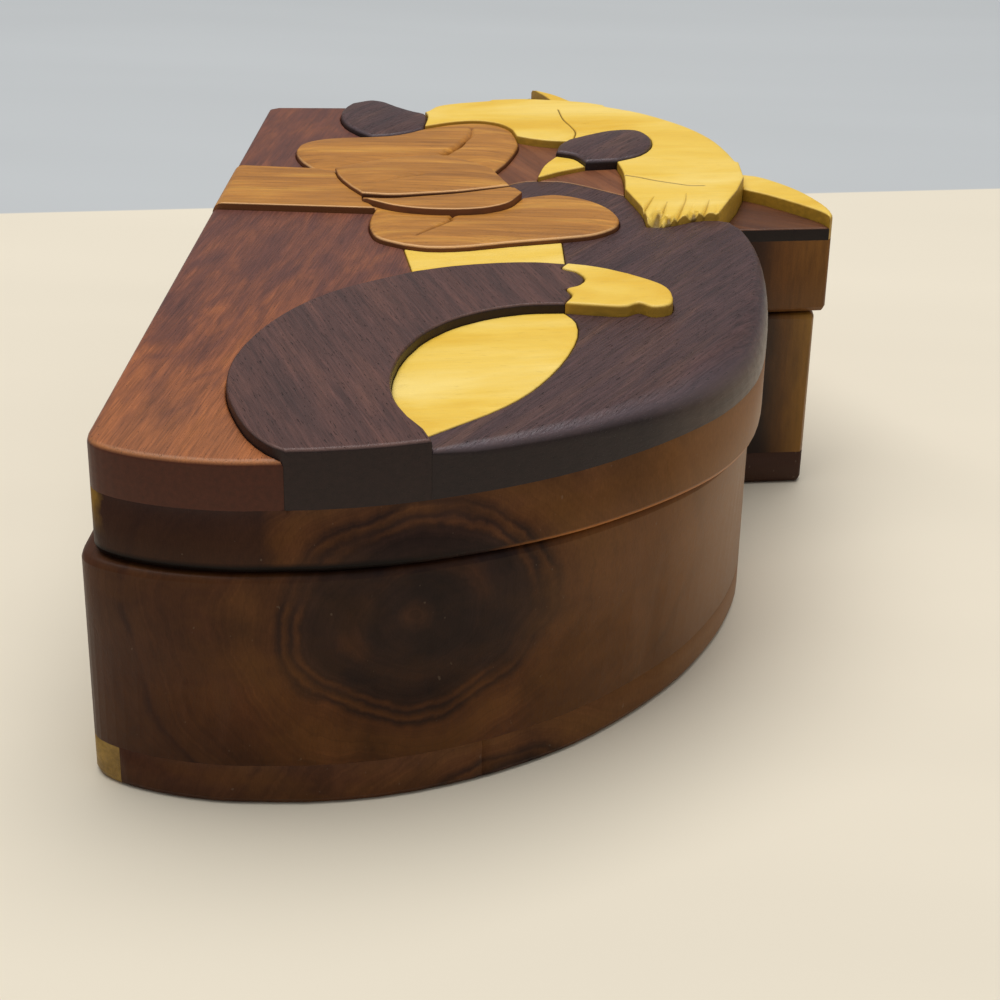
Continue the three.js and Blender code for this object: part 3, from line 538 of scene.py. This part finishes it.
def log_wood(name, heart=(49.5, 31.5), shade=1.0, turn=0.0, lid=False, boards=False):
    """The log the box was sawn from: growth rings and patches of dark, gold and red, paler to the right."""
    tree = Tree(name)
    x, y, z = tree.drawing()
    radius = ring_distance(tree, x, y, z, heart, turn)
    faded = tree.noise(tree.place(0, (0.045, 0.01, 0.07), (turn + 3.1, 0, 1.7)), 3, 0.6)
    fine = tree.add("TexNoise", {"W": radius, "Scale": 0.9, "Detail": 5.0, "Roughness": 0.65},
                    noise_dimensions="1D").outputs["Fac"]
    mottle = tree.noise(tree.place(0, (0.11, 0.03, 0.08), (turn, 0, 0)), 5, 0.62)
    golden = tree.noise(tree.place(0, (0.06, 0.02, 0.1), (turn + 7.7, 0, 4.2)), 4, 0.6)
    fibres = tree.noise(tree.place(0, (4.0, 0.2, 1.0)), 3, 0.6)
    specks = tree.noise(tree.place(0, (0.9, 0.9, 0.6)), 2)

    colour = tree.mix(tree.stretch(faded, 0.46, 0.58, 0.0, 0.85), tree.span_ramp(radius, RINGS, "EASE"),
                      tree.span_ramp(radius, PLAIN, "EASE"))
    colour = tree.vary(colour, fine, 0.84, 1.16)
    colour = tree.vary(colour, mottle, 0.62, 1.4)
    outside = tree.stretch(radius, 15.0, 24.0, 0.25, 1.0)
    golden = tree.math("MULTIPLY", tree.stretch(golden, 0.48, 0.64, 0, 0.4), outside)
    colour = tree.tint(colour, golden, 104, 66, 26)
    colour = tree.tint(colour, tree.stretch(x, 36.0, 6.0, 0, 0.5), 62, 33, 21)
    moved = tree.math("MULTIPLY_ADD", mottle, 12.0, x)
    colour = tree.tint(colour, tree.stretch(moved, 72.0, 104.0, 0, 0.68), 132, 88, 44)
    colour = tree.tint(colour, tree.stretch(x, 88.0, 104.0, 0, 0.75), 152, 114, 82)
    if lid:
        colour = lid_stains_and_painted_light(tree, colour, x, y, z, mottle, moved)
    if boards:
        colour = tree.tint(colour, tree.stretch(y, 84.0, 104.0, 0, 0.9), 46, 25, 20)
    colour = tree.vary(colour, fibres, 0.88 * shade, 1.04 * shade)
    colour = tree.tint(colour, tree.stretch(specks, 0.73, 0.76, 0, 0.25), 128, 110, 92)
    return tree.lacquered(colour, fibres, fibres, relief=0.04, roughness=0.41, level=0.12)


def ear_wood(name, stops):
    """Olive wood of the ear blocks, with its colours by distance to the right."""
    tree = Tree(name)
    waves = tree.noise(tree.place(0, (0.12, 0.02, 0.05)), 4, 0.6)
    streaks = tree.noise(tree.place(0, (1.1, 0.03, 0.12)), 4, 0.6)
    fibres = tree.noise(tree.place(0, (5.0, 0.2, 1.2)), 3, 0.6)
    uneven = tree.math("MULTIPLY_ADD", waves, 6.0, tree.math("SUBTRACT", tree.drawing()[0], 3.0))
    colour = tree.span_ramp(uneven, stops)
    colour = tree.vary(colour, streaks, 0.82, 1.18)
    colour = tree.vary(colour, fibres, 0.93, 1.07)
    return tree.lacquered(colour, fibres, fibres, relief=0.04, roughness=0.43)


# Carved lines, in points of the lid's drawing

# How far the animal's back is rolled over the rim, from the front joint round to the right ear
BACK_ROLL = [(50, 6.7, 0.8), (56.7, 9.8, 2), (64, 13.8, 2.4), (72, 19.1, 3), (80, 25.9, 4), (87.5, 33.6, 5.5),
             (93.5, 41.3, 6.5), (97.6, 48.9, 6.8), (100.6, 57.4, 6.5), (102.4, 68, 5.5), (103.1, 80, 4.2),
             (103.1, 91, 3), (102.4, 99.5, 2), (101.2, 106.5, 1.4), (99.6, 112, 1)]
UPPER_FOLD = [(44.1, 167.9), (44.2, 161.4), (43.5, 158.3), (42.2, 153.1), (39.8, 148.4)]
LOWER_FOLD = [(46, 112.6), (44.3, 109), (44.3, 106), (39, 97.6)]
KNOT_DENT = [(28.9, 125.2), (32.7, 128.3), (36.4, 130.6)]
NEAR_EYE = [(77.2, 137.6), (80.1, 136.5), (83.1, 134.9), (87.1, 133.4), (90, 132.5), (92.8, 132.8)]
FAR_EYE = [(62, 182.8), (63.3, 175.7), (65.3, 169.9), (66.3, 166), (66.1, 161.4)]
# The cheek's tufts: deep grooves, shallow ones beside them, and bowls with their widths
TUFTS = [[(80.7, 115.3), (81.7, 119.7), (82.9, 124.7)], [(84.4, 114.6), (84.9, 118.2), (85.4, 121.3)],
         [(87.2, 112), (88.2, 118), (89, 123), (89.2, 127.3)], [(92.2, 114.3), (92.9, 118.6), (93.6, 123.5)]]
BESIDE_TUFTS = [[(82.6, 113.8), (83.3, 117.5), (84, 121.5)], [(89.4, 113.6), (90.2, 118), (90.8, 122)],
                [(94.6, 115.4), (95, 118.6), (95.3, 122)]]
SCALLOPS = [([(83.1, 109.6), (83.8, 115.7)], 2.2), ([(85.6, 110.2), (85.7, 113)], 1.5),
            ([(90.3, 111), (90.5, 116)], 2.4)]


def build_boards():
    """The base, the key and the boards, ear blocks and runners of the lid."""
    walls = log_wood("walnut_log")
    boards = log_wood("walnut_boards", heart=(62.0, -16.0), shade=0.95, turn=7.3, boards=True)
    sap = wood("sapwood", [(0, (110, 82, 30)), (1, (158, 124, 58))], side=(140, 106, 46), angle=90)
    # The ear blocks' dark left parts are partly the olive wood and partly painted shadow under the animal's
    # overhanging body
    base_ear = ear_wood("olive_base_ear", [(98, (30, 15, 12)), (108, (33, 18, 12)), (112.5, (92, 58, 21)),
                                           (117, (130, 90, 32)), (119.5, (152, 114, 50))])
    lid_ear = ear_wood("olive_lid_ear", [(100, (36, 19, 12)), (106, (56, 33, 15)), (111, (94, 57, 21)),
                                         (120, (112, 72, 26))])
    far_ear = ear_wood("olive_far_ear", [(0, (110, 72, 32)), (30, (84, 50, 24)), (60, (100, 64, 28))])
    carried("base_wall", walls)
    carried("locking_key", walls)
    carried("bottom_board_middle", boards)
    carried("bottom_board_right", boards)
    carried("bottom_board_left", sap)
    carried("lid_board", log_wood("walnut_log_lid", lid=True))
    carried("base_ear_block_right", base_ear)
    carried("lid_ear_block_right", lid_ear)
    carried("base_ear_block_far", far_ear)
    carried("lid_ear_block_far", far_ear)


def build_present():
    """The present with its ribbon and bow, and the runners, which are of the bow's wood."""
    gift = wood("red_gift_wood", [(0, (82, 47, 40)), (0.35, (106, 61, 44)), (0.65, (130, 74, 46)),
                                  (1, (158, 92, 50))], side=(66, 27, 15), angle=84, figure=(0.05, 0.2, 0.2),
                pores=0.8, fibre=0.32, fibre_scale=4.0, grit=1.8, streak=0.2, painted_edge_highlight=(0.25, (210, 150, 100)),
                tints=((26, -6, 0.4, (168, 102, 50)), (30, 70, 0.55, (84, 53, 50))))
    bow = wood("golden_bow_wood", [(0, (142, 92, 38)), (0.5, (170, 113, 46)), (1, (194, 138, 58))],
               side=(96, 50, 20), angle=3, fibre=0.16, pores=0.35, grit=0.8, lines=(66, 34, 14),
               painted_edge_highlight=(0.75, (236, 186, 128)))
    for name in ("runner_left_front", "runner_left_rear", "runner_right"):
        carried(name, bow)
    inlay("gift_panel_front", gift, rim=1.1)
    inlay("gift_panel_rear", gift, rim=1.1)
    inlay("ribbon_strip", bow, rim=2.2, inner=0.35)
    inlay("bow_loop_upper", bow, inner=0.5, dome=(0.6, 7), carvings=[
        Carving(UPPER_FOLD, (0.3, 1.4), (0.7, 1.3), 0.5), Carving(UPPER_FOLD[2:], (0.2, 0.7), (0.3, 0.5))])
    inlay("bow_loop_lower", bow, inner=0.5, dome=(0.6, 7), carvings=[
        Carving(LOWER_FOLD, (1.0, 0.3), (0.8, 0.5), 0.7)])
    crease = shared_edge("bow_knot_fold", "bow_knot")
    inlay("bow_knot", bow, dome=(0.5, 8), carvings=[
        Carving(crease, (0.3, 0.1), (0.5, 0.3), 1.6), Carving(KNOT_DENT, (0.2, 0.4), (1.0, 1.6), 0.3)])
    inlay("bow_knot_fold", bow, inner=0.35, carvings=[
        Carving(crease, (0.9, 0.4), (3.4, 2.2), 0.0, True), Carving(crease, (0.2, 0.1), (0.9, 0.6), 1.2)])


def build_animal():
    """The sleeping animal, in dark and yellow wood, with red throat and ear dishes."""
    # The fur's edge colour is a bluish painted reflection, and its right-hand flank colour is painted light
    fur = wood("dark_fur_wood", [(0, (60, 42, 43)), (0.5, (71, 49, 48)), (1, (84, 58, 50))],
               side=(33, 21, 19), angle=62, fibre=0.36, fibre_scale=2.6, pores=0.6, grit=0.5, relief=0.2,
               roughness=0.38, painted_light_side_right=(96, 78, 66), painted_edge_highlight=(0.5, (108, 98, 104)))
    leg = wood("dark_leg_wood", [(0, (66, 45, 42)), (0.5, (80, 53, 48)), (1, (94, 62, 53))],
               side=(34, 21, 19), angle=-67, shift=(31, 7, 0), fibre=0.28, fibre_scale=3.0, streak=0.22,
               pores=0.5, grit=0.5, relief=0.2, roughness=0.38, painted_edge_highlight=(0.5, (132, 106, 100)))
    yellow = wood("yellow_wood", [(0, (216, 168, 42)), (0.5, (228, 190, 78)), (1, (236, 206, 114))],
                  side=(168, 128, 40), angle=12, figure=(0.02, 0.06, 0.06), fibre=0.03, streak=0.03,
                  pores=0.05, lines=(76, 50, 12), painted_edge_highlight=(0.2, (250, 224, 150)))
    throat = wood("throat_wood", [(0, (92, 52, 32)), (0.5, (114, 68, 42)), (1, (130, 80, 48))],
                  side=(50, 28, 20), angle=-60, pores=0.4)
    dish = wood("ear_dish_wood", [(0, (72, 40, 23)), (0.5, (86, 49, 28)), (1, (98, 58, 32))],
                side=(18, 10, 9), angle=-20, pores=0.4, painted_edge_highlight=(0.12, (150, 110, 80)))
    inlay("animal_body", fur, rim=BACK_ROLL)
    inlay("belly_upper", yellow, inner=0.3)
    inlay("belly_lower", yellow, inner=0.3)
    inlay("leg", leg, rim=0.7, inner=0.5)
    inlay("paw", yellow, inner=0.6)
    inlay("head", yellow, step=0.5, carvings=[
        *[Carving(line, (0.9, 0.1), (0.8, 0.3), 0.6) for line in TUFTS],
        *[Carving(line, (0.35, 0.05), (0.6, 0.3), 0.25) for line in BESIDE_TUFTS],
        *[Carving(line, (2.0, 0.9), (width, 0.8), 1.2, True) for line, width in SCALLOPS],
        Carving(NEAR_EYE, (0.5, 0.4), (0.6, 0.5), 1.4),
        Carving(FAR_EYE, (0.3, 0.4), (0.35, 0.35))])
    inlay("nose", fur, inner=0.8, dome=(0.4, 6))
    inlay("lip", yellow)
    inlay("throat_left", throat, inner=0.3)
    inlay("throat_right", throat, inner=0.3)
    inlay("hand", fur, rim=1.6, inner=0.8, dome=(0.6, 6))
    for ear in ("ear_right", "ear_far"):
        inlay(ear + "_edge", yellow, rim=1.0)
        inlay(ear + "_dish", dish, rim=0.4, inner=0.3)


def build_stage():
    """A plain floor in two pale tones: warm under the box, grey from the line behind it on."""
    mesh = bpy.data.meshes.new("floor")
    mesh.from_pydata([(-4, -4, 0), (4, -4, 0), (4, 4, 0), (-4, 4, 0)], [], [(0, 1, 2, 3)])
    piece = bpy.data.objects.new("floor", mesh)
    bpy.context.scene.collection.objects.link(piece)
    tree = Tree("floor")
    cloud = tree.noise(tree.place(0, (0.004, 0.02, 0.004)), 2)
    x, y, _ = tree.drawing()
    behind = tree.math("SUBTRACT", y, tree.math("MULTIPLY_ADD", x, TABLE_SLOPE, TABLE_END))
    tone = tree.mix(tree.stretch(behind, -0.5, 0.5), linear(224, 214, 194), linear(184, 187, 188))
    tree.set(tree.shader.inputs["Base Color"], tree.vary(tone, cloud, 0.96, 1.0))
    tree.shader.inputs["Roughness"].default_value = 0.7
    tree.shader.inputs["Specular IOR Level"].default_value = 0.2
    mesh.materials.append(tree.material)


def build_camera():
    """The photograph's viewpoint."""
    level = Vector((math.cos(YAW), math.sin(YAW), 0))
    ahead = Vector((-math.sin(YAW), math.cos(YAW), 0))
    rise = ahead * math.sin(PITCH) + Vector((0, 0, math.cos(PITCH)))
    back = -(ahead * math.cos(PITCH) - Vector((0, 0, math.sin(PITCH))))
    right = level * math.cos(ROLL) + rise * math.sin(ROLL)
    up = rise * math.cos(ROLL) - level * math.sin(ROLL)
    place = Vector((*(CAMERA_GROUND + ZERO), CAMERA_HEIGHT)) * MM
    camera = bpy.data.cameras.new("camera")
    camera.sensor_fit = "HORIZONTAL"
    camera.sensor_width = 36
    camera.lens = FOCAL / PICTURE_WIDTH * camera.sensor_width
    camera.clip_start = 0.01
    piece = bpy.data.objects.new("camera", camera)
    bpy.context.scene.collection.objects.link(piece)
    piece.matrix_world = Matrix.Translation(place) @ Matrix((right, up, back)).transposed().to_4x4()
    bpy.context.scene.camera = piece


def area_lamp(name, place, size, watts, target=(0, 0, 0.03)):
    """A rectangular lamp that points at the box."""
    light = bpy.data.lights.new(name, "AREA")
    light.shape = "RECTANGLE"
    light.size, light.size_y = size
    light.energy = watts
    piece = bpy.data.objects.new(name, light)
    piece.location = place
    piece.rotation_euler = (Vector(target) - Vector(place)).to_track_quat("-Z", "Y").to_euler()
    bpy.context.scene.collection.objects.link(piece)


def build_light():
    """A large soft lamp overhead, a weak one in front and a pale studio all round."""
    area_lamp("overhead", (-0.1, 0.15, 1.3), (1.4, 1.0), 18.5)
    area_lamp("front_fill", (0.9, -1.0, 0.9), (1.2, 0.8), 1.2)
    world = bpy.data.worlds.new("studio")
    world.use_nodes = True
    background = world.node_tree.nodes["Background"]
    background.inputs["Color"].default_value = (0.97, 0.98, 1, 1)
    background.inputs["Strength"].default_value = 0.32
    bpy.context.scene.world = world
    bpy.context.scene.view_settings.view_transform = "Standard"


build_camera()
build_stage()
build_light()
build_boards()
build_present()
build_animal()
